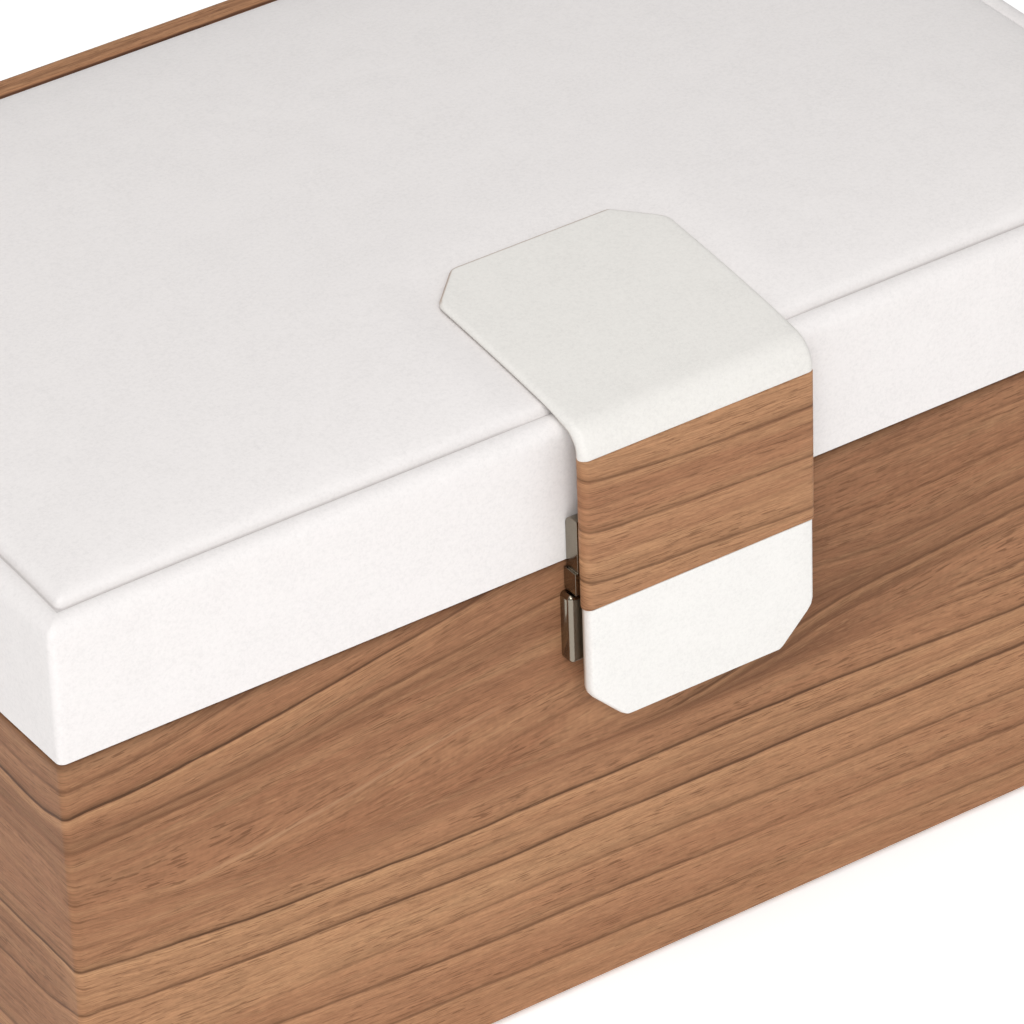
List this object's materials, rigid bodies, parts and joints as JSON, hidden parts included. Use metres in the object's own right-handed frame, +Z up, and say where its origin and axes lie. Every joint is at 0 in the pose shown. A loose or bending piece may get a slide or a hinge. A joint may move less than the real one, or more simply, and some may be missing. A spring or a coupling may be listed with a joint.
{
  "type": "cufflink display box",
  "caption": "Rectangular walnut-finish case with a padded white hinged lid, a front strap with a snap clasp, and a lift-out tray of cushioned cells for cufflinks.",
  "frame": {"origin": "centre of the felt face that the box stands on, midway between its sides and between its front and back faces", "axes": "+X to the right along the box's long side, -Y out of the front with the strap, +Z up"},
  "size_m": [0.226, 0.153, 0.1153],
  "materials": {
    "walnut_decor": "satin walnut decor foil with printed straight grain",
    "fibreboard": "raw fibreboard edge",
    "card": "grey card",
    "white_leatherette": "fine-grained white leatherette",
    "strap_leatherette": "smooth white leatherette",
    "cream_velour": "short-pile velour lining",
    "foam": "soft foam",
    "brown_felt": "dense felt",
    "nickel": "satin nickel plate",
    "steel_pin": "bright steel"
  },
  "bodies": {
    "base": {"base_back_panel": "fibreboard", "base_bottom_panel": "fibreboard", "base_felt": "brown_felt", "base_floor_pad": "cream_velour", "base_front_panel": "fibreboard", "base_left_panel": "fibreboard", "base_right_panel": "fibreboard", "base_walnut_wrap": "walnut_decor", "clasp_strike": "nickel", "hinge_base_leaf_left": "nickel", "hinge_base_leaf_right": "nickel", "hinge_base_screws": "steel_pin", "hinge_pins": "steel_pin", "ledge_back": "cream_velour", "ledge_front": "cream_velour", "ledge_left": "cream_velour", "ledge_right": "cream_velour", "liner_back": "cream_velour", "liner_front": "cream_velour", "liner_left": "cream_velour", "liner_right": "cream_velour", "lower_divider_cross_1": "cream_velour", "lower_divider_cross_2": "cream_velour", "lower_divider_long": "cream_velour"},
    "lid": {"hinge_lid_leaf_left": "nickel", "hinge_lid_leaf_right": "nickel", "hinge_lid_screws": "steel_pin", "lid_back_wall": "fibreboard", "lid_front_wall": "fibreboard", "lid_leatherette_wrap": "white_leatherette", "lid_left_wall": "fibreboard", "lid_lining_panel": "cream_velour", "lid_lining_walls": "cream_velour", "lid_pad_board": "card", "lid_pad_cover": "white_leatherette", "lid_pad_foam": "foam", "lid_right_wall": "fibreboard", "lid_top_board": "fibreboard", "lid_walnut_spine": "walnut_decor", "strap_tab": "strap_leatherette"},
    "flap": {"clasp_hasp": "nickel", "flap_core": "card", "flap_lower_cover": "strap_leatherette", "flap_walnut_band": "walnut_decor", "hasp_rivets": "steel_pin"},
    "tray": {"tray_back_wall": "cream_velour", "tray_base": "cream_velour", "tray_cushions": "cream_velour", "tray_divider_cross_1": "cream_velour", "tray_divider_cross_2": "cream_velour", "tray_divider_cross_3": "cream_velour", "tray_divider_cross_4": "cream_velour", "tray_divider_long_1": "cream_velour", "tray_divider_long_2": "cream_velour", "tray_front_wall": "cream_velour", "tray_left_wall": "cream_velour", "tray_lift_tabs": "cream_velour", "tray_right_wall": "cream_velour"}
  },
  "joints": [
    {"name": "lid_hinge", "type": "hinge", "parent": "base", "child": "lid", "pos_m": [0, 0.0723, 0.0844], "axis": [-1, 0, 0], "range_deg": [0, 100]},
    {"name": "strap_fold", "type": "hinge", "parent": "lid", "child": "flap", "pos_m": [0, -0.0765, 0.1056], "axis": [-1, 0, 0], "range_deg": [0, 80]},
    {"name": "tray_lift", "type": "slide", "parent": "base", "child": "tray", "axis": [0, 0, 1], "range_m": [0, 0.012]}
  ]
}
